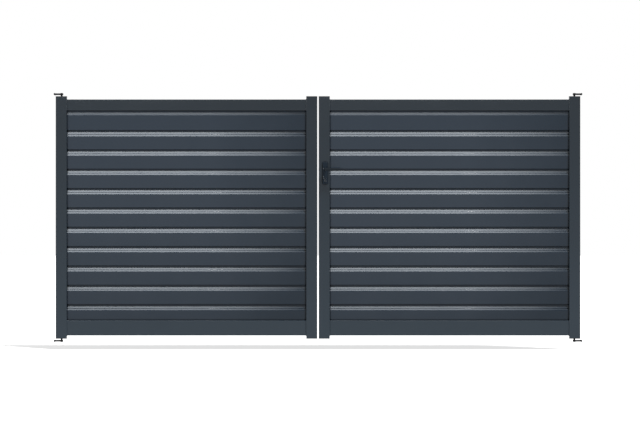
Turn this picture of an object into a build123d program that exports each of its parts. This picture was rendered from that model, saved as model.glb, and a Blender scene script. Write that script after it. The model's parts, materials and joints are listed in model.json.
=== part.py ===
# Louvred double swing gate: two hinged leaves, each a frame of closed tube filled with folded louvre slats.
# Origin on the wall face of the lower left hinge bracket, +X along the gate, -Y the outer face, +Z up.
import os
from build123d import *

os.makedirs("parts", exist_ok=True)

# Opening and running gaps
opening_width = 3500
wall_gap = 11
leaf_gap = 10
end_gap = 9

# Leaf frame of closed tube
tube_length = 1600
cap_thickness = 4
stile_width = 73
frame_depth = 40
rail_recess = 3
frame_wall = 2
frame_corner = 3
top_rail_height = 74
bottom_rail_height = 100
stile_overrun = 21

# Louvre slats of folded sheet
slat_count = 11
last_slat_share = 0.85
slat_wall = 1
slat_recess = 12
slat_gap = 15
facet_height = 27
facet_depth = 13
top_slat_gap = 13
top_facet_height = 18
top_facet_depth = 2.8
face_lean = 3
lip_depth = 8
tongue_rise = 26
slat_bend = 8

# Hinge brackets
arm_thickness = 10
arm_width = 40
arm_past_pin = 9.6
arm_corner = 8
flange_thickness = 6
flange_width = 76
flange_height = 12
flange_corner = 2
flange_hole = 5.5
flange_hole_spacing = 60
pin_diameter = 12
pin_inset = 38
pin_engagement = 32
pin_chamfer = 1.5
pin_root_diameter = 18
pin_root_height = 5
head_diameter = 16
head_height = 3
head_round = 1.5

# Hinge bushes in the ends of the hinge stiles
bush_height = 40
bush_corner = 2
boss_diameter = 26
boss_clearance = 0.3
pin_clearance = 0.05
bearing_gap = 0.2

# Stile end caps
plug_height = 10
plug_clearance = 0.3
cap_edge = 0.8

# Lock plates, cylinder and lever handles on the right leaf's meeting stile
plate_width = 33
plate_above_lever = 49
plate_below_cylinder = 36
plate_thickness = 8
plate_corner = 6
plate_edge = 2
plate_inset = 26
lever_height = 1122
lever_neck = 16
lever_reach = 103
lever_tall = 16
lever_thick = 9
lever_edge = 2.5
lever_stand_off = 50
lever_foot_gap = 0.5
lever_clearance = 0.1
spindle_size = 8
spindle_clearance = 0.1
spindle_overlap = 18
socket_end_gap = 2
lock_centres = 60
cylinder_diameter = 17
cylinder_stem = 10
cylinder_tall = 33
cylinder_proud = 3
cylinder_clearance = 0.3
keyhole_width = 2.2
keyhole_height = 9
keyhole_depth = 4

# Lock case in the stile and the strike on the other leaf
case_thickness = 16
case_depth = 56
case_above_lever = 38
case_below_cylinder = 62
hub_bore = 12
lock_face_width = 22
lock_face_height = 220
lock_face_corner = 3
strike_height = 150
strike_slot_width = 14
strike_slot_height = 60

# Places worked out from the sizes above
leaf_height = tube_length + 2 * cap_thickness
leaf_width = (opening_width - 2 * wall_gap - leaf_gap) / 2
leaf_bottom = arm_thickness / 2 + end_gap
leaf_top = leaf_bottom + leaf_height
upper_arm_height = leaf_top + end_gap + arm_thickness / 2
top_rail_bottom = leaf_top - stile_overrun - top_rail_height
bottom_rail_bottom = leaf_bottom + stile_overrun
bottom_rail_top = bottom_rail_bottom + bottom_rail_height
slat_pitch = (top_rail_bottom - bottom_rail_top) / (slat_count - 1 + last_slat_share)
rail_length = leaf_width - 2 * stile_width
front_face = -frame_depth / 2
back_face = frame_depth / 2
tube_inner_width = stile_width - 2 * frame_wall
tube_inner_depth = frame_depth - 2 * frame_wall
slat_front = front_face + slat_recess
right_leaf_left = wall_gap + leaf_width + leaf_gap
lever_x = right_leaf_left + plate_inset + plate_width / 2
lever_z = leaf_bottom + lever_height
lever_y = back_face + lever_stand_off
rail_depth = frame_depth - 2 * rail_recess
cylinder_z = lever_z - lock_centres
plate_height = plate_above_lever + lock_centres + plate_below_cylinder
plate_z = lever_z + plate_above_lever - plate_height / 2
case_height = case_above_lever + lock_centres + case_below_cylinder
case_z = lever_z + case_above_lever - case_height / 2


# Writes one piece to a file of its own
def save(part, name):
    part.label = name
    export_step(part, f"parts/{name}.step")


# Rounded rectangular tube
def tube_profile(width, depth):
    RectangleRounded(width, depth, frame_corner)
    RectangleRounded(
        width - 2 * frame_wall, depth - 2 * frame_wall, frame_corner - frame_wall, mode=Mode.SUBTRACT
    )


# Outline of the lock cylinder: a round barrel over a narrower stem
def cylinder_profile(clearance, mode=Mode.ADD):
    stem_round = cylinder_stem / 2
    stem_centre = cylinder_tall - cylinder_diameter / 2 - stem_round
    with Locations((lever_x, cylinder_z)):
        Circle(cylinder_diameter / 2 + clearance, mode=mode)
    with Locations((lever_x, cylinder_z - stem_centre / 2)):
        Rectangle(cylinder_stem + 2 * clearance, stem_centre, mode=mode)
    with Locations((lever_x, cylinder_z - stem_centre)):
        Circle(stem_round + clearance, mode=mode)


# Upright tube; the meeting stiles have cut-outs for the lock or for the strike
def make_stile(name, left, with_lock, with_strike):
    with BuildPart() as stile:
        with BuildSketch(Plane((left + stile_width / 2, 0, leaf_bottom + cap_thickness))):
            tube_profile(stile_width, frame_depth)
        extrude(amount=tube_length)
        if with_lock:
            with BuildSketch(Plane.XZ):
                with Locations((lever_x, lever_z)):
                    Circle(lever_neck / 2)
                cylinder_profile(cylinder_clearance)
            extrude(amount=frame_depth, both=True, mode=Mode.SUBTRACT)
            with BuildSketch(Plane.YZ.offset(left)):
                with Locations((0, case_z)):
                    RectangleRounded(lock_face_width, lock_face_height, lock_face_corner)
            extrude(amount=frame_wall, mode=Mode.SUBTRACT)
        if with_strike:
            with BuildSketch(Plane.YZ.offset(left + stile_width)):
                with Locations((0, case_z)):
                    RectangleRounded(lock_face_width, strike_height, lock_face_corner)
            extrude(amount=-frame_wall, mode=Mode.SUBTRACT)
    save(stile.part, name)


# Level tube between the stiles, set back from their faces
def make_rail(name, left, bottom, height):
    with BuildPart() as rail:
        with BuildSketch(Plane.YZ.offset(left)):
            with Locations((0, bottom + height / 2)):
                tube_profile(rail_depth, height)
        extrude(amount=rail_length)
    save(rail.part, name)


# One slat: a hidden tongue, a sloping facet, the broad face and a lip that turns in under it
def make_slat(name, left, top, rise, fall, gap, facet, with_lip):
    tongue_y = slat_front + facet[0]
    foot_y = slat_front + face_lean * fall / slat_pitch
    front_line = [
        (tongue_y, top + rise),
        (tongue_y, top - gap),
        (slat_front, top - gap - facet[1]),
        (foot_y, top - fall),
    ]
    with BuildPart() as slat:
        with BuildSketch(Plane.YZ.offset(left)):
            with BuildLine():
                FilletPolyline(front_line, radius=slat_bend)
                offset(amount=slat_wall, side=Side.LEFT)
            make_face()
            if with_lip:
                with Locations((foot_y, top - fall)):
                    Rectangle(lip_depth, slat_wall, align=(Align.MIN, Align.MIN))
        extrude(amount=rail_length)
    save(slat.part, name)


# Middle of the hinge pins of the leaf whose hinge stile starts at hinge_left
def pin_place(hinge_left):
    if hinge_left < opening_width / 2:
        return wall_gap + pin_inset
    return opening_width - wall_gap - pin_inset


# Flat caps on all four stile ends of a leaf; those at the hinges are open round the bush's boss
def make_caps(name, hinge_left, meeting_left):
    with BuildPart() as caps:
        for bottom in (leaf_bottom, leaf_top - cap_thickness):
            for left in (hinge_left, meeting_left):
                with BuildSketch(Plane((left + stile_width / 2, 0, bottom))):
                    RectangleRounded(stile_width, frame_depth, frame_corner)
                extrude(amount=cap_thickness)
            with BuildSketch(Plane((pin_place(hinge_left), 0, bottom))):
                Circle(boss_diameter / 2 + boss_clearance)
            extrude(amount=cap_thickness, mode=Mode.SUBTRACT)
        for tube_end, up in ((leaf_bottom + cap_thickness, 1), (leaf_top - cap_thickness, -1)):
            with BuildSketch(Plane((meeting_left + stile_width / 2, 0, tube_end))):
                RectangleRounded(
                    tube_inner_width - 2 * plug_clearance,
                    tube_inner_depth - 2 * plug_clearance,
                    frame_corner - frame_wall,
                )
            extrude(amount=up * plug_height)
        outer_faces = caps.faces().filter_by(Axis.Z).group_by(Axis.Z)
        chamfer(outer_faces[0].edges() + outer_faces[-1].edges(), cap_edge)
    save(caps.part, name)


# A steel block in each end of the stile, with a boss through the cap and a bore for the pin
def make_bushes(name, hinge_left):
    with BuildPart() as bushes:
        for end, up in ((leaf_bottom, 1), (leaf_top, -1)):
            with BuildSketch(Plane((hinge_left + stile_width / 2, 0, end + up * cap_thickness))):
                RectangleRounded(tube_inner_width, tube_inner_depth, bush_corner)
            extrude(amount=up * bush_height)
            with BuildSketch(Plane((pin_place(hinge_left), 0, end))):
                Circle(boss_diameter / 2)
            extrude(amount=up * cap_thickness)
            with BuildSketch(Plane((pin_place(hinge_left), 0, end))):
                Circle(pin_diameter / 2 + pin_clearance)
            extrude(amount=up * (pin_engagement + bearing_gap), mode=Mode.SUBTRACT)
    save(bushes.part, name)


# Wall flange, arm and pin in one piece; inward is +1 on the left wall and -1 on the right
def make_bracket(name, wall_x, inward, arm_z, up):
    pin_x = wall_x + inward * (wall_gap + pin_inset)
    arm_length = wall_gap + pin_inset + arm_past_pin
    pin_plane = Plane(origin=(pin_x, 0, arm_z), x_dir=(1, 0, 0), z_dir=(0, 0, up))
    with BuildPart() as bracket:
        with BuildSketch(Plane.XY.offset(arm_z)) as arm:
            with Locations((wall_x + inward * arm_length / 2, 0)):
                Rectangle(arm_length, arm_width)
            fillet(arm.vertices().group_by(Axis.X)[-1 if inward > 0 else 0], arm_corner)
        extrude(amount=arm_thickness / 2, both=True)
        with BuildSketch(pin_plane):
            Circle(pin_diameter / 2)
        extrude(amount=arm_thickness / 2 + end_gap + pin_engagement)
        tip = bracket.faces().filter_by(Axis.Z).sort_by(Axis.Z)[-1 if up > 0 else 0]
        chamfer(tip.edges(), pin_chamfer)
        with Locations(pin_plane.offset(arm_thickness / 2)):
            Cone(
                pin_root_diameter / 2,
                pin_diameter / 2,
                pin_root_height,
                align=(Align.CENTER, Align.CENTER, Align.MIN),
            )
        with Locations(pin_plane.offset(-arm_thickness / 2)):
            Cylinder(head_diameter / 2, head_height, align=(Align.CENTER, Align.CENTER, Align.MAX))
        head = bracket.faces().filter_by(Axis.Z).sort_by(Axis.Z)[0 if up > 0 else -1]
        fillet(head.edges(), head_round)
        with BuildSketch(Plane.YZ.offset(wall_x)):
            with Locations((0, arm_z)):
                RectangleRounded(flange_width, flange_height, flange_corner)
            with GridLocations(flange_hole_spacing, 0, 2, 1):
                with Locations((0, arm_z)):
                    Circle(flange_hole / 2, mode=Mode.SUBTRACT)
        extrude(amount=inward * flange_thickness)
    save(bracket.part, name)


# A bevelled plate with openings for lever and cylinder; outward is +1 in front and -1 at the back
def make_lock_plate(name, outward):
    seat = front_face if outward > 0 else back_face
    with BuildPart() as plate:
        with BuildSketch(Plane.XZ.offset(-seat)):
            with Locations((lever_x, plate_z)):
                RectangleRounded(plate_width, plate_height, plate_corner)
            with Locations((lever_x, lever_z)):
                Circle(lever_neck / 2 + lever_clearance, mode=Mode.SUBTRACT)
            cylinder_profile(cylinder_clearance, Mode.SUBTRACT)
        extrude(amount=outward * plate_thickness)
        outer = plate.faces().filter_by(Axis.Y).sort_by(Axis.Y)[0 if outward > 0 else -1]
        chamfer(outer.outer_wire().edges(), plate_edge)
    save(plate.part, name)


# A round neck through the lock plate carries a flat grip that runs towards the hinge side
def make_lever(name, outward, with_spindle):
    side = -outward
    foot_y = side * (back_face + lever_foot_gap)
    foot_plane = Plane(origin=(lever_x, foot_y, lever_z), x_dir=(1, 0, 0), z_dir=(0, side, 0))
    with BuildPart() as lever:
        with BuildSketch(Plane.XZ.offset(-side * lever_y)):
            with Locations((lever_x, lever_z)):
                Circle(lever_tall / 2)
            with Locations((lever_x + lever_reach / 2, lever_z)):
                Rectangle(lever_reach, lever_tall)
        extrude(amount=-side * lever_thick)
        fillet(lever.edges().filter_by(Axis.Y), lever_edge)
        fillet(lever.faces().filter_by(Axis.Y).edges(), lever_edge)
        with BuildSketch(foot_plane):
            Circle(lever_neck / 2)
        extrude(amount=lever_stand_off - lever_foot_gap + lever_edge)
        if with_spindle:
            with BuildSketch(foot_plane):
                Rectangle(spindle_size, spindle_size)
            extrude(amount=-(frame_depth + 2 * lever_foot_gap + spindle_overlap))
        else:
            with BuildSketch(foot_plane):
                socket = spindle_size + 2 * spindle_clearance
                Rectangle(socket, socket)
            extrude(amount=spindle_overlap + socket_end_gap, mode=Mode.SUBTRACT)
    save(lever.part, name)


# Double lock cylinder through the leaf, with a key slot at each end
def make_cylinder():
    reach = back_face + plate_thickness + cylinder_proud
    with BuildPart() as cylinder:
        with BuildSketch(Plane.XZ.offset(-reach)):
            cylinder_profile(0)
        extrude(amount=2 * reach)
        for end, inward in ((-reach, 1), (reach, -1)):
            with BuildSketch(Plane.XZ.offset(-end)):
                with Locations((lever_x, cylinder_z)):
                    Rectangle(keyhole_width, keyhole_height)
            extrude(amount=-inward * keyhole_depth, mode=Mode.SUBTRACT)
    save(cylinder.part, "lock_cylinder")


# The case sits inside the stile behind its face plate, which is let into the edge of the stile
def make_lock_case():
    with BuildPart() as case:
        with BuildSketch(Plane.YZ.offset(right_leaf_left)):
            with Locations((0, case_z)):
                RectangleRounded(lock_face_width, lock_face_height, lock_face_corner)
        extrude(amount=frame_wall)
        with BuildSketch(Plane.YZ.offset(right_leaf_left + frame_wall)):
            with Locations((0, case_z)):
                Rectangle(case_thickness, case_height)
        extrude(amount=case_depth)
        with BuildSketch(Plane.XZ):
            with Locations((lever_x, lever_z)):
                Circle(hub_bore / 2)
            cylinder_profile(cylinder_clearance)
        extrude(amount=case_thickness, both=True, mode=Mode.SUBTRACT)
    save(case.part, "lock_case")


# A slotted plate let into the edge of the other leaf, level with the lock
def make_strike():
    left_leaf_right = wall_gap + leaf_width
    with BuildPart() as strike:
        with BuildSketch(Plane.YZ.offset(left_leaf_right)):
            with Locations((0, case_z)):
                RectangleRounded(lock_face_width, strike_height, lock_face_corner)
            with Locations((0, case_z)):
                Rectangle(strike_slot_width, strike_slot_height, mode=Mode.SUBTRACT)
        extrude(amount=-frame_wall)
    save(strike.part, "strike_plate")


# All pieces of one leaf, from its frame to its slats
def make_leaf(side, leaf_left, hinge_left, meeting_left, with_lock):
    rail_left = leaf_left + stile_width
    make_stile(f"{side}_hinge_stile", hinge_left, False, False)
    make_stile(f"{side}_meeting_stile", meeting_left, with_lock, not with_lock)
    make_rail(f"{side}_top_rail", rail_left, top_rail_bottom, top_rail_height)
    make_rail(f"{side}_bottom_rail", rail_left, bottom_rail_bottom, bottom_rail_height)
    for number in range(slat_count):
        first = number == 0
        last = number == slat_count - 1
        top = top_rail_bottom - number * slat_pitch
        rise = 0 if first else tongue_rise
        fall = slat_pitch * last_slat_share if last else slat_pitch
        gap = top_slat_gap if first else slat_gap
        facet = (top_facet_depth, top_facet_height) if first else (facet_depth, facet_height)
        make_slat(f"{side}_slat_{number + 1:02d}", rail_left, top, rise, fall, gap, facet, not last)
    make_caps(f"{side}_stile_caps", hinge_left, meeting_left)
    make_bushes(f"{side}_hinge_bushes", hinge_left)


left_leaf_inner = wall_gap + leaf_width - stile_width
right_leaf_outer = right_leaf_left + leaf_width - stile_width
make_leaf("left", wall_gap, wall_gap, left_leaf_inner, False)
make_leaf("right", right_leaf_left, right_leaf_outer, right_leaf_left, True)
for side, wall_x, inward in (("left", 0, 1), ("right", opening_width, -1)):
    make_bracket(f"lower_{side}_bracket", wall_x, inward, 0, 1)
    make_bracket(f"upper_{side}_bracket", wall_x, inward, upper_arm_height, -1)
make_lock_plate("lock_plate_front", 1)
make_lock_plate("lock_plate_back", -1)
make_lever("lever_front", 1, False)
make_lever("lever_back", -1, True)
make_cylinder()
make_lock_case()
make_strike()
print("slat pitch", round(slat_pitch, 2), "leaf", leaf_width, "x", leaf_height)
print("upper arm height", upper_arm_height, "lever", lever_x, lever_z)
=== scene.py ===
import json
import math
import bpy
import bmesh
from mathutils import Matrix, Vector


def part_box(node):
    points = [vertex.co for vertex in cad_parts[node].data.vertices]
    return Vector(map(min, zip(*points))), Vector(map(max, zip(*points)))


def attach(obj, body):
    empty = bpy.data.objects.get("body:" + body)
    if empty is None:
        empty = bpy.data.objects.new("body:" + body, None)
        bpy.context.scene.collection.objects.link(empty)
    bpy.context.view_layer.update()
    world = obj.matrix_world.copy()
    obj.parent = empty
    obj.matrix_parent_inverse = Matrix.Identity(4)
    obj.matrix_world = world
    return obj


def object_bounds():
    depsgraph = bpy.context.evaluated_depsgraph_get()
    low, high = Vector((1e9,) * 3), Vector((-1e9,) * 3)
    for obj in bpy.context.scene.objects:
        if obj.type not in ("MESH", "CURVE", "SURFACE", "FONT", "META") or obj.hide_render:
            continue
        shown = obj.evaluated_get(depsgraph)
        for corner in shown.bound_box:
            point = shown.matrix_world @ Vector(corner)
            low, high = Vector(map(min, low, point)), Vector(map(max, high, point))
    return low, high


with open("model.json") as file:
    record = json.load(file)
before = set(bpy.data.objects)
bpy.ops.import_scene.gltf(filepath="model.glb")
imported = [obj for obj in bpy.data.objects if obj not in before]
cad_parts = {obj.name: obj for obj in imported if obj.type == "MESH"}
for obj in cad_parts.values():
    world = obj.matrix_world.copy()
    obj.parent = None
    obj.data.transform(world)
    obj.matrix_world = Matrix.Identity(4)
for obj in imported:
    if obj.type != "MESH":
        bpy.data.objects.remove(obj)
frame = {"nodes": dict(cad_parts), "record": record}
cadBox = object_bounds()
nodes = frame["nodes"]
mm = 0.001
print("frame loaded:", len(nodes), "nodes")


def toLinear(hexText):
    parts = []
    for start in (0, 2, 4):
        value = int(hexText[start:start + 2], 16) / 255
        parts.append(value / 12.92 if value <= 0.04045 else ((value + 0.055) / 1.055) ** 2.4)
    return (*parts, 1.0)


# Adds one node: values go to its input sockets, as settings or as links from other nodes' outputs
def addNode(tree, kind, values=None, **settings):
    node = tree.nodes.new(kind)
    for name, value in settings.items():
        setattr(node, name, value)
    for socket, value in (values or {}).items():
        if isinstance(value, bpy.types.NodeSocket):
            tree.links.new(value, node.inputs[socket])
        else:
            node.inputs[socket].default_value = value
    return node


def newMaterial(name):
    material = bpy.data.materials.new(name)
    material.use_nodes = True
    material.node_tree.nodes.clear()
    return material, material.node_tree


# Noise with lumps about `size` metres across, drawn out along X, Y and Z by `stretch`
def lumps(tree, size, stretch, detail):
    place = addNode(tree, "ShaderNodeTexCoord")
    sized = addNode(
        tree, "ShaderNodeMapping",
        {"Vector": place.outputs["Object"], "Scale": [1 / size / s for s in stretch]},
    )
    noise = addNode(
        tree, "ShaderNodeTexNoise",
        {"Vector": sized.outputs["Vector"], "Scale": 1.0, "Detail": detail, "Roughness": 0.55},
    )
    return noise.outputs["Fac"]


# 0 on flat faces, rising towards 1 on corners tighter than `radius`
def cornerMask(tree, radius, gain):
    rounded = addNode(tree, "ShaderNodeBevel", {"Radius": radius}, samples=4)
    face = addNode(tree, "ShaderNodeNewGeometry")
    same = addNode(
        tree, "ShaderNodeVectorMath",
        {0: rounded.outputs["Normal"], 1: face.outputs["Normal"]}, operation="DOT_PRODUCT",
    )
    turned = addNode(tree, "ShaderNodeMath", {0: 1.0, 1: same.outputs["Value"]}, operation="SUBTRACT")
    return addNode(
        tree, "ShaderNodeMath", {0: turned.outputs["Value"], 1: gain}, operation="MULTIPLY", use_clamp=True,
    ).outputs["Value"]


# Ambient occlusion, as a mask for painted shade: 1 in the open, falling to 0 in folds and corners closer
# than `distance`
def paintedShadeOpenness(tree, distance, low, high):
    near = addNode(tree, "ShaderNodeAmbientOcclusion", {"Distance": distance}, samples=6)
    return addNode(
        tree, "ShaderNodeMapRange", {"Value": near.outputs["AO"], "From Min": low, "From Max": high},
    ).outputs["Result"]


def closeSurface(tree, colour, roughness, normal, metallic, specular):
    shader = addNode(
        tree, "ShaderNodeBsdfPrincipled",
        {"Base Color": colour, "Roughness": roughness, "Normal": normal,
         "Metallic": metallic, "Specular IOR Level": specular},
    )
    addNode(tree, "ShaderNodeOutputMaterial", {"Surface": shader.outputs["BSDF"]})


# Nearly all of Blender's noise lies between these two values
noiseLow = 0.3
noiseHigh = 0.7

# Polyester powder coat, sprayed dry and baked on galvanised steel: satin anthracite with a fine
# orange peel, a film that is a little cloudy in thickness, and paler where it thins over corners.
# In folds and recesses ambient occlusion paints the film dark and takes its gloss down: painted shade
powderCoat = {
    "corner": (1.2 * mm, 1.5),            # radius of the worn corners, and how soon they pale
    "fold": 14 * mm,
    "foldRange": (0.55, 0.9),
    "foldShadeColour": "0A1119",
    "cloud": (220 * mm, (1, 1, 1), 3.0),
    "cloudShare": 0.08,
}
# Real orange peel is about 1 mm across and real draw lines finer: both are coarser here, to show.
# Draw lines and waviness come from roll-forming and run along the slats
orangePeel = {"lumps": (2.4 * mm, (1, 1, 1), 2.0), "depth": 0.03 * mm}
drawLines = {"lumps": (4 * mm, (200, 1, 1), 2.0), "depth": 0.004 * mm}
waviness = {"lumps": (90 * mm, (6, 1, 1), 2.0), "depth": 0.1 * mm}
# Painted shade: the film darkens between two heights on the gate, and on the slats also between two
# distances from the leaf's left side, in metres, each by its share; the frame pales towards its foot, the
# slats darken towards their foot and right ends. With the cloud's random tone it turns to
# 'cloudyShadedFilm', and duller by up to 'dulledByCloudAndShade'
frameCoat = {
    "film": "1E2B35", "cloudyShadedFilm": "162028", "thinFilm": "303C45",
    "specular": 0.3, "dulledByCloudAndShade": 0.0,
    "roughness": (0.2, 0.24),
    "reliefs": (orangePeel,),
    "heights": (0.1, 1.6, 1.0), "along": (1.0, 1.65, 0.0),
}
slatCoat = {
    "film": "1D2A37", "cloudyShadedFilm": "101E2A", "thinFilm": "303F4B",
    "specular": 0.3, "dulledByCloudAndShade": 0.28,
    "roughness": (0.16, 0.2),
    "reliefs": (orangePeel, drawLines, waviness),
    "heights": (0.75, 0.15, 0.52), "along": (1.0, 1.65, 0.66),
}
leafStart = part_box("left_hinge_stile")[0].x
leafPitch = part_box("right_meeting_stile")[0].x - leafStart


# Random cloud in the film's tone plus painted shade between two heights and along each leaf, from 0 to 1
def cloudAndPaintedShade(tree, coat, cloud):
    cloudy = powderCoat["cloudShare"]
    total = addNode(
        tree, "ShaderNodeMapRange",
        {"Value": cloud, "From Min": noiseLow, "From Max": noiseHigh, "To Min": -cloudy, "To Max": cloudy},
    ).outputs["Result"]
    place = addNode(tree, "ShaderNodeTexCoord")
    axes = addNode(tree, "ShaderNodeSeparateXYZ", {"Vector": place.outputs["Object"]})
    onGate = addNode(tree, "ShaderNodeMath", {0: axes.outputs["X"], 1: leafStart}, operation="SUBTRACT")
    onLeaf = addNode(
        tree, "ShaderNodeMath", {0: onGate.outputs["Value"], 1: leafPitch}, operation="MODULO",
    )
    # Painted shade: the film darkens between two heights, and on the slats towards each leaf's right end
    for source, (start, end, share) in (
        (axes.outputs["Z"], coat["heights"]),
        (onLeaf.outputs["Value"], coat["along"]),
    ):
        rise = addNode(
            tree, "ShaderNodeMapRange",
            {"Value": source, "From Min": start, "From Max": end, "To Max": share},
        )
        both = addNode(tree, "ShaderNodeMath", {0: total, 1: rise.outputs["Result"]})
        total = both.outputs["Value"]
    both.use_clamp = True
    return total


def powderCoated(name, coat):
    material, tree = newMaterial(name)
    cloud = lumps(tree, *powderCoat["cloud"])
    # Painted shade, mixed with the film's random cloud
    cloudAndShade = cloudAndPaintedShade(tree, coat, cloud)
    film = addNode(
        tree, "ShaderNodeMix",
        {0: cloudAndShade, 6: toLinear(coat["film"]), 7: toLinear(coat["cloudyShadedFilm"])}, data_type="RGBA",
    )
    worn = addNode(
        tree, "ShaderNodeMix",
        {0: cornerMask(tree, *powderCoat["corner"]), 6: film.outputs[2], 7: toLinear(coat["thinFilm"])},
        data_type="RGBA",
    )
    # Painted shade: ambient occlusion darkens the film's colour and its gloss in folds and recesses
    outsidePaintedShade = paintedShadeOpenness(tree, powderCoat["fold"], *powderCoat["foldRange"])
    colour = addNode(
        tree, "ShaderNodeMix",
        {0: outsidePaintedShade, 6: toLinear(powderCoat["foldShadeColour"]), 7: worn.outputs[2]}, data_type="RGBA",
    )
    # Painted shade in the gloss as well: duller where the film is painted darker
    sheen = addNode(
        tree, "ShaderNodeMath", {0: cloudAndShade, 1: -coat["dulledByCloudAndShade"], 2: 1.0}, operation="MULTIPLY_ADD",
    )
    shaded = addNode(tree, "ShaderNodeMath", {0: outsidePaintedShade, 1: sheen.outputs["Value"]}, operation="MULTIPLY")
    gloss = addNode(
        tree, "ShaderNodeMath", {0: shaded.outputs["Value"], 1: coat["specular"]}, operation="MULTIPLY",
    )
    low, high = coat["roughness"]
    rough = addNode(
        tree, "ShaderNodeMapRange",
        {"Value": cloud, "From Min": noiseLow, "From Max": noiseHigh, "To Min": low, "To Max": high},
    )
    relief = {"Strength": 1.0}
    for layer in coat["reliefs"]:
        relief["Height"] = lumps(tree, *layer["lumps"])
        relief["Distance"] = layer["depth"]
        relief["Normal"] = addNode(tree, "ShaderNodeBump", relief).outputs["Normal"]
    closeSurface(
        tree, colour.outputs[2], rough.outputs["Result"], relief["Normal"], 0.0, gloss.outputs["Value"],
    )
    return material


# The small parts' finishes. Each has two tones, mixed by its pattern or from flat faces to corners,
# a range of roughness that follows the pattern, and a relief: its own, or else the pattern

# Black electrocoat over forged steel: even, low sheen, with a faint scale texture under it
electrocoat = {
    "tones": ("08090B", "141518"), "corner": (1.5 * mm, 1.5),
    "pattern": (5 * mm, (1, 1, 1), 4.0), "depth": 0.05 * mm,
    "roughness": (0.49, 0.61), "metallic": 0.0, "specular": 0.15,
}
# Bright zinc plate on turned steel: grey with a soft blue passivate bloom and fine turning marks,
# which are coarser here than the real 0.2 mm, to show
zincPlate = {
    "tones": ("A9ADB0", "8E959C"),
    "pattern": (14 * mm, (1, 1, 1), 3.0), "relief": (0.8 * mm, (12, 12, 1), 2.0), "depth": 0.01 * mm,
    "roughness": (0.28, 0.42), "metallic": 1.0, "specular": 0.5,
}
# Moulded nylon: dark grey, dull, with the fine sparked grain of its mould
nylon = {
    "tones": ("101316", "16191D"),
    "pattern": (1.5 * mm, (1, 1, 1), 3.0), "depth": 0.03 * mm,
    "roughness": (0.55, 0.65), "metallic": 0.0, "specular": 0.2,
}
# Black stoved enamel on die-cast zinc: smooth, half gloss, rubbed a little paler at the rim
plateEnamel = {
    "tones": ("16202A", "242F39"), "corner": (1.0 * mm, 1.2),
    "pattern": (12 * mm, (1, 1, 1), 3.0), "relief": (2 * mm, (1, 1, 1), 2.0), "depth": 0.012 * mm,
    "roughness": (0.4, 0.52), "metallic": 0.0, "specular": 0.12,
}
# Graphite coated cast aluminium lever: close to the frame's colour, smoother where hands polish it
leverCoat = {
    "tones": ("0D141A", "121A21"),
    "pattern": (40 * mm, (1, 1, 1), 2.0), "relief": (2 * mm, (1, 1, 1), 2.0), "depth": 0.015 * mm,
    "roughness": (0.51, 0.37), "metallic": 0.0, "specular": 0.15,
}
# Black nickel plate on brass: smoky dark metal with upright brushing, coarser than the real 0.1 mm
blackNickel = {
    "tones": ("262C33", "1E242A"),
    "pattern": (0.6 * mm, (1, 1, 20), 2.0), "depth": 0.006 * mm,
    "roughness": (0.35, 0.5), "metallic": 1.0, "specular": 0.5,
}
# Stainless strip, brushed lengthwise: cool grey with fine upright lines, coarser than the real 0.1 mm
stainless = {
    "tones": ("A6A8AA", "8C8F92"),
    "pattern": (0.7 * mm, (1, 1, 40), 2.0), "depth": 0.006 * mm,
    "roughness": (0.27, 0.4), "metallic": 1.0, "specular": 0.5,
}


def makeFinish(name, look):
    material, tree = newMaterial(name)
    pattern = lumps(tree, *look["pattern"])
    relief = lumps(tree, *look["relief"]) if "relief" in look else pattern
    if "corner" in look:
        share = cornerMask(tree, *look["corner"])
    else:
        share = addNode(
            tree, "ShaderNodeMapRange", {"Value": pattern, "From Min": noiseLow, "From Max": noiseHigh},
        ).outputs["Result"]
    first, second = look["tones"]
    colour = addNode(
        tree, "ShaderNodeMix", {0: share, 6: toLinear(first), 7: toLinear(second)}, data_type="RGBA",
    )
    low, high = look["roughness"]
    rough = addNode(
        tree, "ShaderNodeMapRange",
        {"Value": pattern, "From Min": noiseLow, "From Max": noiseHigh, "To Min": low, "To Max": high},
    )
    raised = addNode(tree, "ShaderNodeBump", {"Height": relief, "Distance": look["depth"], "Strength": 1.0})
    closeSurface(
        tree, colour.outputs[2], rough.outputs["Result"], raised.outputs["Normal"],
        look["metallic"], look["specular"],
    )
    return material


finishes = {
    "frame_coat": powderCoated("anthracitePowderCoatFrame", frameCoat),
    "slat_coat": powderCoated("anthracitePowderCoatSlat", slatCoat),
    "hinge_bracket": makeFinish("blackElectrocoatedSteel", electrocoat),
    "bush_steel": makeFinish("brightZincPlatedSteel", zincPlate),
    "end_cap": makeFinish("mouldedNylon", nylon),
    "lock_plate": makeFinish("blackStovedZincCasting", plateEnamel),
    "lever_coat": makeFinish("graphiteCoatedAluminium", leverCoat),
    "cylinder": makeFinish("blackNickelPlatedBrass", blackNickel),
    "lock_steel": makeFinish("brushedStainlessStrip", stainless),
}
for part in frame["record"]["subparts"]:
    slots = nodes[part["node"]].data.materials
    slots.clear()
    slots.append(finishes[part["material_slot"]])
print("materials assigned:", len(finishes))


# Adds one mesh piece in the row frame, with its finish, riding on a CAD body
def addPiece(name, mesh, body, finish):
    piece = bpy.data.objects.new(name, mesh)
    bpy.context.scene.collection.objects.link(piece)
    mesh.materials.append(finishes[finish])
    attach(piece, body)
    return piece


# Joins rings of points, each as long as the last, into a skin; `loop` joins the last ring to the first
def skin(mesh, rings, loop=False, capFirst=False, capLast=False):
    made = [[mesh.verts.new(point) for point in ring] for ring in rings]
    pairs = list(zip(made, made[1:])) + ([(made[-1], made[0])] if loop else [])
    for first, second in pairs:
        for k in range(len(first)):
            after = (k + 1) % len(first)
            mesh.faces.new((first[k], first[after], second[after], second[k]))
    if capFirst:
        mesh.faces.new(made[0][::-1])
    if capLast:
        mesh.faces.new(made[-1])


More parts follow.
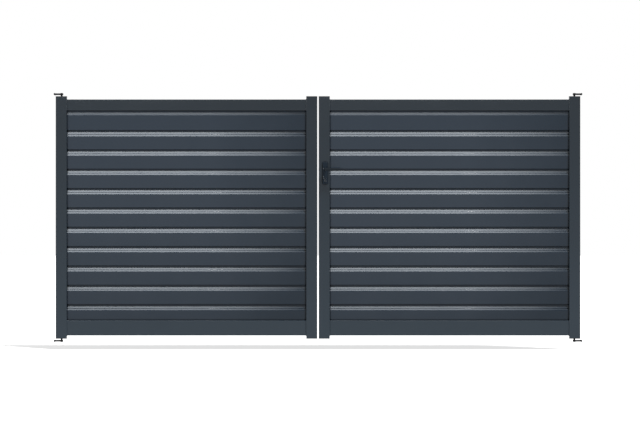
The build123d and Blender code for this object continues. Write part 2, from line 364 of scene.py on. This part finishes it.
def toMesh(name, form, smooth=True):
    bmesh.ops.recalc_face_normals(form, faces=form.faces[:])
    mesh = bpy.data.meshes.new(name)
    form.to_mesh(mesh)
    form.free()
    for face in mesh.polygons:
        face.use_smooth = smooth
    return mesh


# Weld bead: a round run of metal with the ripples of its pool, standing a little unevenly
weld = {
    "sides": 8,
    "step": 1.1 * mm,
    "pitch": 4.4 * mm,                        # from one ripple to the next
    "ripple": 0.17,
    "sharpness": 0.7,                         # of the dips between ripples
    "sways": ((0.25, 0.37), (0.2, 0.113)),    # part of a ripple's height, and radians a step
    "railSize": 2.7 * mm,
    "railCorner": 3 * mm,
    "cornerSteps": 3,
    "bracketSize": 1.4 * mm,
}


# Runs a bead along `path`, points with the direction that leads away from the work at each
def bead(form, path, across, size, loop):
    rings = []
    for number, (point, away) in enumerate(path):
        along = number * weld["step"] / weld["pitch"]
        swell = abs(math.sin(math.pi * along)) ** weld["sharpness"]
        sway = sum(part * math.sin(rate * number) for part, rate in weld["sways"])
        radius = size * (1 + weld["ripple"] * (swell - 1 + sway))
        ring = []
        for k in range(weld["sides"]):
            turn = 2 * math.pi * k / weld["sides"]
            ring.append(point + away * radius * math.cos(turn) + across * radius * math.sin(turn))
        rings.append(ring)
    skin(form, rings, loop, not loop, not loop)


# Points round a rail's section in the plane at x, with the direction outwards at each
def roundRail(low, high, x):
    path = []
    corner = weld["railCorner"]
    halfY = (high.y - low.y) / 2 - corner
    halfZ = (high.z - low.z) / 2 - corner
    middle = Vector((x, (low.y + high.y) / 2, (low.z + high.z) / 2))
    back = Vector((0, 1, 0))
    up = Vector((0, 0, 1))
    sides = (
        (-back, up, halfZ, halfY),
        (up, back, halfY, halfZ),
        (back, -up, halfZ, halfY),
        (-up, -back, halfY, halfZ),
    )
    for out, along, half, reach in sides:
        count = max(2, round(2 * half / weld["step"]))
        for k in range(count):
            path.append((middle + out * (reach + corner) + along * half * (2 * k / count - 1), out))
        hub = middle + out * reach + along * half
        for k in range(weld["cornerSteps"]):
            turn = math.pi / 2 * k / weld["cornerSteps"]
            away = out * math.cos(turn) + along * math.sin(turn)
            path.append((hub + away * corner, away))
    return path


def makeRailWelds():
    for side in ("left", "right"):
        for level in ("top", "bottom"):
            low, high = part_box(f"{side}_{level}_rail")
            form = bmesh.new()
            for x in (low.x, high.x):
                bead(form, roundRail(low, high, x), Vector((1, 0, 0)), weld["railSize"], True)
            name = f"{side}{level.capitalize()}RailWelds"
            addPiece(name, toMesh(name, form), f"{side}_leaf", "frame_coat")


bracket = {
    "armZ": {"lower": 0.0, "upper": 1636 * mm},
    "armThick": 10 * mm,
    "flangeThick": 6 * mm,
    "weldLength": 34 * mm,
}


# Fillet weld above and below each bracket's arm, where it meets the wall flange
def makeBracketWelds():
    for side, inward in (("left", 1), ("right", -1)):
        for level in ("lower", "upper"):
            low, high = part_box(f"{level}_{side}_bracket")
            name = f"{level}{side.capitalize()}BracketWelds"
            wallX = low.x if inward > 0 else high.x
            x = wallX + inward * bracket["flangeThick"]
            form = bmesh.new()
            for up in (-1, 1):
                z = bracket["armZ"][level] + up * bracket["armThick"] / 2
                path = []
                count = round(bracket["weldLength"] / weld["step"])
                for k in range(count + 1):
                    y = bracket["weldLength"] * (k / count - 0.5)
                    path.append((Vector((x, y, z)), Vector((0, 0, up))))
                bead(form, path, Vector((1, 0, 0)), weld["bracketSize"], False)
            addPiece(name, toMesh(name, form), "wall_brackets", "hinge_bracket")


makeRailWelds()
makeBracketWelds()
print("weld beads made")

# Stiffening bead rolled along the sloping facet of each slat but the first, a thin dark line in the
# gloss: its middle lies below the slat's top edge and in front of its back, square to the slope
rib = {
    "belowTop": 55.9 * mm,
    "fromBack": 8.2 * mm,
    "slope": 25.7,
    "halfWidth": 1.5 * mm,
    "proud": 0.9 * mm,
    "sunk": 0.4 * mm,
    "points": 16,
}


def makeSlatRibs():
    slope = math.radians(rib["slope"])
    down = Vector((0, -math.sin(slope), -math.cos(slope)))
    out = Vector((0, -math.cos(slope), math.sin(slope)))
    for side in ("left", "right"):
        form = bmesh.new()
        for node in sorted(name for name in nodes if name.startswith(f"{side}_slat_"))[1:]:
            low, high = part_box(node)
            middle = Vector((0, high.y - rib["fromBack"], high.z - rib["belowTop"]))
            section = []
            for k in range(rib["points"]):
                turn = 2 * math.pi * k / rib["points"]
                rise = math.sin(turn) * (rib["proud"] if k < rib["points"] / 2 else rib["sunk"])
                section.append(middle + down * rib["halfWidth"] * math.cos(turn) + out * rise)
            rings = [[Vector((x, point.y, point.z)) for point in section] for x in (low.x, high.x)]
            skin(form, rings, capFirst=True, capLast=True)
        name = f"{side}SlatBeads"
        addPiece(name, toMesh(name, form), f"{side}_leaf", "slat_coat")


makeSlatRibs()
print("slat beads made")


# Turns a profile of (radius, height, sides) about an axis; sides 0 is round, 6 is the flats of a hexagon
def turned(form, profile, foot, axis, capLast=True, points=36):
    first = axis.orthogonal().normalized()
    second = axis.cross(first)
    rings = []
    for radius, height, sides in profile:
        ring = []
        for k in range(points):
            turn = 2 * math.pi * k / points
            reach = radius
            if sides:
                part = math.pi / sides
                reach = radius * math.cos(part) / math.cos((turn % (2 * part)) - part)
            ring.append(foot + axis * height + (first * math.cos(turn) + second * math.sin(turn)) * reach)
        rings.append(ring)
    skin(form, rings, capLast=capLast)


def inMetres(profile):
    return [(radius * mm, height * mm, sides) for radius, height, sides in profile]


# Profiles of the screws and lock details, in mm: radius, height above the face they stand on, sides.
# A button-head screw with a hexagon socket
socketScrew = [
    (2.1, -0.2, 0), (2.1, 0.3, 0), (1.9, 0.8, 0), (1.6, 1.1, 0), (1.2, 1.2, 0), (0.9, 1.2, 6), (0.9, 0.4, 6),
]
# A countersunk screw let flush into the strips on the edges of the stiles, with the same socket
flushScrew = [(3.9, -0.3, 0), (3.9, 0.15, 0), (3.6, 0.35, 0), (2.0, 0.35, 0), (1.5, 0.3, 6), (1.5, -0.8, 6)]

# Lock furniture on the right leaf, all placed from the lock plate's and the cylinder's own boxes
lockDetails = {
    "collar": [(8.3, -0.2, 0), (11, -0.2, 0), (11, 1.6, 0), (10.4, 2.2, 0), (8.6, 2.2, 0), (8.3, 1.9, 0)],
    "rotor": [(6.9, -0.2, 0), (6.9, 0.35, 0), (6.6, 0.6, 0), (6.1, 0.6, 0), (5.9, 0.3, 0), (5.9, -0.2, 0)],
    "screwInset": 4.6 * mm,
    "screwsBelowTop": (42.5 * mm, 96 * mm),
}


def makeLockDetails():
    leverLow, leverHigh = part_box("lever_front")
    leverZ = (leverLow.z + leverHigh.z) / 2
    cylinderLow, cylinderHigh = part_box("lock_cylinder")
    barrelX = (cylinderLow.x + cylinderHigh.x) / 2
    barrelZ = cylinderHigh.z - (cylinderHigh.x - cylinderLow.x) / 2
    for face in ("front", "back"):
        low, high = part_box(f"lock_plate_{face}")
        out = -1 if face == "front" else 1
        axis = Vector((0, out, 0))
        plateY = low.y if out < 0 else high.y
        cylinderY = cylinderLow.y if out < 0 else cylinderHigh.y
        form = bmesh.new()
        turned(form, inMetres(lockDetails["collar"]), Vector((barrelX, plateY, leverZ)), axis, False)
        name = f"leverCollar{face.capitalize()}"
        addPiece(name, toMesh(name, form), "right_leaf", "lock_plate")
        form = bmesh.new()
        turned(form, inMetres(lockDetails["rotor"]), Vector((barrelX, cylinderY, barrelZ)), axis, False)
        name = f"cylinderRotorRing{face.capitalize()}"
        addPiece(name, toMesh(name, form), "right_leaf", "cylinder")
        form = bmesh.new()
        for below in lockDetails["screwsBelowTop"]:
            foot = Vector((low.x + lockDetails["screwInset"], plateY, high.z - below))
            turned(form, inMetres(socketScrew), foot, axis)
        name = f"lockPlateScrews{face.capitalize()}"
        addPiece(name, toMesh(name, form, False), "right_leaf", "lock_steel")


# Grub screw that locks each lever to the spindle, sunk in the underside of its neck
grub = {
    "profile": [(2.4, -0.6, 0), (2.4, 0.25, 0), (2.1, 0.4, 0), (1.25, 0.4, 6), (1.25, -0.6, 6)],
    "out": 12 * mm,
}


def makeGrubScrews():
    for face, out in (("front", -1), ("back", 1)):
        low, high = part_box(f"lever_{face}")
        plateLow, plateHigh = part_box(f"lock_plate_{face}")
        y = (plateLow.y if out < 0 else plateHigh.y) + out * grub["out"]
        form = bmesh.new()
        foot = Vector(((plateLow.x + plateHigh.x) / 2, y, low.z))
        turned(form, inMetres(grub["profile"]), foot, Vector((0, 0, -1)))
        name = f"leverGrubScrew{face.capitalize()}"
        addPiece(name, toMesh(name, form, False), "lever_handles", "lock_steel")


# Latch, dead bolt and screws on the lock's face strip, and the screws of the strike. Each bolt
# stands proud by the first figure at its front edge and by the second at its back edge
edgeStrips = {
    "latch": {"halfWidth": 6 * mm, "halfHeight": 11 * mm, "proud": (0.3 * mm, 1.0 * mm)},
    "bolt": {"halfWidth": 6 * mm, "halfHeight": 13 * mm, "proud": (0.6 * mm, 0.6 * mm)},
    "sunk": 0.5 * mm,
    "edge": 0.25 * mm,
    "edgeSteps": 3,
    "screwFromEnd": 9 * mm,
}


def addBolt(name, sizes, faceX, middleZ):
    near = []
    far = []
    for y, z, proud in ((-1, -1, 0), (-1, 1, 0), (1, 1, 1), (1, -1, 1)):
        place = (y * sizes["halfWidth"], middleZ + z * sizes["halfHeight"])
        near.append(Vector((faceX + edgeStrips["sunk"], *place)))
        far.append(Vector((faceX - sizes["proud"][proud], *place)))
    form = bmesh.new()
    skin(form, [near, far], capFirst=True, capLast=True)
    piece = addPiece(name, toMesh(name, form, False), "right_leaf", "lock_steel")
    rounding = piece.modifiers.new("rounding", "BEVEL")
    rounding.width = edgeStrips["edge"]
    rounding.segments = edgeStrips["edgeSteps"]


def makeEdgeStripDetails():
    low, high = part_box("lock_case")
    leverLow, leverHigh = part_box("lever_front")
    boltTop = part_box("lock_cylinder")[1].z
    addBolt("lockLatch", edgeStrips["latch"], low.x, (leverLow.z + leverHigh.z) / 2)
    addBolt("lockDeadBolt", edgeStrips["bolt"], low.x, boltTop - edgeStrips["bolt"]["halfHeight"])
    strikeLow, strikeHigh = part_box("strike_plate")
    for name, body, x, out, ends in (
        ("lockFaceScrews", "right_leaf", low.x, -1, (low.z, high.z)),
        ("strikeScrews", "left_leaf", strikeHigh.x, 1, (strikeLow.z, strikeHigh.z)),
    ):
        form = bmesh.new()
        for z in (ends[0] + edgeStrips["screwFromEnd"], ends[1] - edgeStrips["screwFromEnd"]):
            turned(form, inMetres(flushScrew), Vector((x, 0, z)), Vector((out, 0, 0)))
        addPiece(name, toMesh(name, form, False), body, "lock_steel")


makeLockDetails()
makeGrubScrews()
makeEdgeStripDetails()
print("lock details made")

# Plain pale floor under the gate, and white round it; both look white to the camera and in gloss.
# "white" is the floor's own glow to the eye, and "fill" the strength with which the world lights
stageLook = {"drop": 50 * mm, "reach": 40.0, "floor": "D8D8D8", "white": 0.62, "fill": 0.26}


def whiteToTheEye(tree):
    rays = addNode(tree, "ShaderNodeLightPath")
    some = addNode(
        tree, "ShaderNodeMath",
        {0: rays.outputs["Is Camera Ray"], 1: rays.outputs["Is Glossy Ray"]}, operation="MAXIMUM",
    )
    return addNode(
        tree, "ShaderNodeMath",
        {0: some.outputs["Value"], 1: rays.outputs["Is Transmission Ray"]}, operation="MAXIMUM",
    ).outputs["Value"]


def makeFloor():
    mesh = bpy.data.meshes.new("floor")
    reach = stageLook["reach"]
    height = cadBox[0].z - stageLook["drop"]
    corners = [(x * reach, y * reach, height) for x, y in ((-1, -1), (1, -1), (1, 1), (-1, 1))]
    mesh.from_pydata(corners, [], [(0, 1, 2, 3)])
    floor = bpy.data.objects.new("floor", mesh)
    bpy.context.scene.collection.objects.link(floor)
    material, tree = newMaterial("palePlainFloor")
    matt = addNode(tree, "ShaderNodeBsdfDiffuse", {"Color": toLinear(stageLook["floor"])})
    glow = addNode(
        tree, "ShaderNodeMath", {0: whiteToTheEye(tree), 1: stageLook["white"]}, operation="MULTIPLY",
    )
    lit = addNode(tree, "ShaderNodeEmission", {"Color": (1, 1, 1, 1), "Strength": glow.outputs["Value"]})
    both = addNode(tree, "ShaderNodeAddShader", {0: matt.outputs[0], 1: lit.outputs[0]})
    addNode(tree, "ShaderNodeOutputMaterial", {"Surface": both.outputs[0]})
    mesh.materials.append(material)


def makeWorld():
    world = bpy.data.worlds.new("whiteStudio")
    world.use_nodes = True
    tree = world.node_tree
    tree.nodes.clear()
    strength = addNode(
        tree, "ShaderNodeMapRange",
        {"Value": whiteToTheEye(tree), "To Min": stageLook["fill"], "To Max": 1.0},
    )
    back = addNode(
        tree, "ShaderNodeBackground", {"Color": (1, 1, 1, 1), "Strength": strength.outputs["Result"]},
    )
    addNode(tree, "ShaderNodeOutputWorld", {"Surface": back.outputs[0]})
    bpy.context.scene.world = world


makeFloor()
makeWorld()

# Square-on camera: the photograph is 640 px wide and shows the gate's front at 6.63 mm a pixel,
# with the gate's middle at 318.0, 217.5
view = {
    "distance": 18.0,
    "perPixel": 6.629 * mm,
    "middle": (318.0, 217.5),
    "size": (640, 427),
    "sensor": 36,
    "clipEnd": 200,
}


def makeCamera():
    camera = bpy.data.cameras.new("camera")
    camera.sensor_width = view["sensor"]
    camera.lens = camera.sensor_width * view["distance"] / (view["size"][0] * view["perPixel"])
    camera.clip_end = view["clipEnd"]
    holder = bpy.data.objects.new("camera", camera)
    stiles = [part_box("left_hinge_stile"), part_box("right_hinge_stile")]
    middleX = (stiles[0][0].x + stiles[1][1].x) / 2
    middleZ = (stiles[0][0].z + stiles[0][1].z) / 2
    right = (view["size"][0] / 2 - view["middle"][0]) * view["perPixel"]
    up = (view["middle"][1] - view["size"][1] / 2) * view["perPixel"]
    holder.location = (middleX + right, stiles[0][0].y - view["distance"], middleZ + up)
    holder.rotation_euler = (math.radians(90), 0, 0)
    bpy.context.scene.collection.objects.link(holder)
    bpy.context.scene.camera = holder


makeCamera()
print("floor, world and camera made")

# Key light from above, in front and to the right. Reflectors before each leaf are seen only in its
# gloss: their image runs along the slats' sloping facets and fades in steps towards the right
lamps = {
    "keyTowards": (0.9, -1.0, 2.5),
    "keyStrength": 4.4,
    "keySoftness": 9.0,
    "reflectorRadiance": 12.0,
    "reflectorColour": (0.92, 0.965, 1.0),
    "reflectorStart": -0.9,         # from the left edge of the leaf, in metres
    # Where each panel ends, and its share of the light
    "reflectorSteps": ((0.95, 1.0), (1.12, 0.93), (1.28, 0.82), (1.42, 0.68), (1.54, 0.5), (1.64, 0.28)),
    "reflectorTall": 1.1,
    "reflectorElevation": 51.4,     # mirror direction of the facets, seen square on
    "reflectorFar": 2.2,
    "aimHeight": 0.8,
}


# A group of one leaf's meshes, for the lamps that light only that leaf
def leafGroup(side):
    group = bpy.data.collections.new(f"{side}LeafMeshes")
    for part in frame["record"]["subparts"]:
        if part["node"].startswith(f"{side}_"):
            group.objects.link(nodes[part["node"]])
    for name in (f"{side}SlatBeads", f"{side}TopRailWelds", f"{side}BottomRailWelds"):
        group.objects.link(bpy.data.objects[name])
    return group


def makeLamps():
    key = bpy.data.lights.new("keyLight", "SUN")
    key.energy = lamps["keyStrength"]
    key.angle = math.radians(lamps["keySoftness"])
    lamp = bpy.data.objects.new("keyLight", key)
    lamp.rotation_euler = Vector(lamps["keyTowards"]).to_track_quat("Z", "Y").to_euler()
    bpy.context.scene.collection.objects.link(lamp)
    elevation = math.radians(lamps["reflectorElevation"])
    away = Vector((0, -math.cos(elevation), math.sin(elevation)))
    cameraX = bpy.context.scene.camera.location.x
    outward = lamps["reflectorFar"] / view["distance"]     # mirrored rays lean away from the camera
    for side, edge in (("left", "left_hinge_stile"), ("right", "right_meeting_stile")):
        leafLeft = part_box(edge)[0].x
        group = leafGroup(side)
        left = leafLeft + lamps["reflectorStart"]
        for number, (stop, share) in enumerate(lamps["reflectorSteps"]):
            right = leafLeft + stop + (leafLeft + stop - cameraX) * outward
            aim = Vector(((left + right) / 2, 0, lamps["aimHeight"]))
            name = f"{side}Reflector{number}"
            panel = bpy.data.lights.new(name, "AREA")
            panel.shape = "RECTANGLE"
            panel.size = right - left
            panel.size_y = lamps["reflectorTall"]
            panel.color = lamps["reflectorColour"]
            panel.energy = lamps["reflectorRadiance"] * share * math.pi * panel.size * panel.size_y
            lamp = bpy.data.objects.new(name, panel)
            lamp.location = aim + away * lamps["reflectorFar"]
            lamp.rotation_euler = away.to_track_quat("Z", "Y").to_euler()
            lamp.visible_camera = False
            lamp.visible_diffuse = False
            lamp.light_linking.receiver_collection = group
            bpy.context.scene.collection.objects.link(lamp)
            left = right


makeLamps()
print("lamps placed:", 2 * len(lamps["reflectorSteps"]) + 1)

bpy.context.scene.view_settings.view_transform = "Standard"
